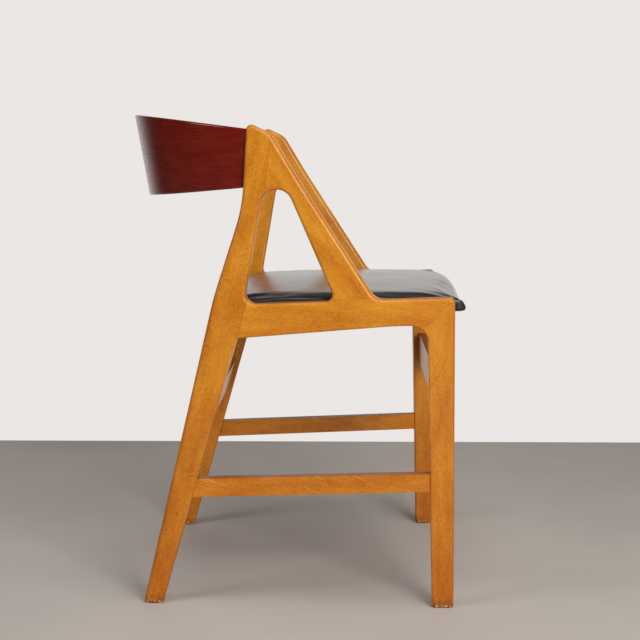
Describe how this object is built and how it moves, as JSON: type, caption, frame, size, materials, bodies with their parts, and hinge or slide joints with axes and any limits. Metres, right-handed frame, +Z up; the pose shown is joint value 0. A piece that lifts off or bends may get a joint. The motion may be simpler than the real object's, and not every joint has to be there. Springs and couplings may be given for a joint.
{
  "type": "dining chair",
  "caption": "Dining chair with toed-in A-shaped side frames, a bent wooden backrest shell that wraps round between the posts, and a padded leather seat.",
  "frame": {"origin": "on the floor, under the middle of the chair's bounding box", "axes": "+Z up, the sitter faces -Y, +X to the sitter's left, the chair is symmetric about the plane X = 0"},
  "size_m": [0.4996, 0.515, 0.7262],
  "materials": {
    "beech_frame": "lacquered beech, honey brown",
    "beech_cleat": "planed beech, unlacquered",
    "beech_dowel": "fluted beech dowel",
    "steel_screw": "zinc-plated wood screw",
    "mahogany_shell": "glossy lacquered red-brown veneer over bent plywood",
    "seat_plywood": "raw birch plywood",
    "seat_foam": "polyurethane foam",
    "black_leather": "satin black upholstery leather",
    "lining_cloth": "black non-woven lining"
  },
  "bodies": {
    "root": {"right_front_leg": "beech_frame", "right_rear_leg": "beech_frame", "right_arm_brace": "beech_frame", "right_side_rail": "beech_frame", "right_side_stretcher": "beech_frame", "right_seat_cleat": "beech_cleat", "right_frame_dowels": "beech_dowel", "left_front_leg": "beech_frame", "left_rear_leg": "beech_frame", "left_arm_brace": "beech_frame", "left_side_rail": "beech_frame", "left_side_stretcher": "beech_frame", "left_seat_cleat": "beech_cleat", "left_frame_dowels": "beech_dowel", "front_rail": "beech_frame", "rear_rail": "beech_frame", "cross_rail_dowels": "beech_dowel", "cleat_screws": "steel_screw", "seat_screws": "steel_screw", "backrest": "mahogany_shell", "seat_board": "seat_plywood", "seat_foam": "seat_foam", "seat_cover": "black_leather", "seat_underside": "lining_cloth"}
  },
  "joints": []
}
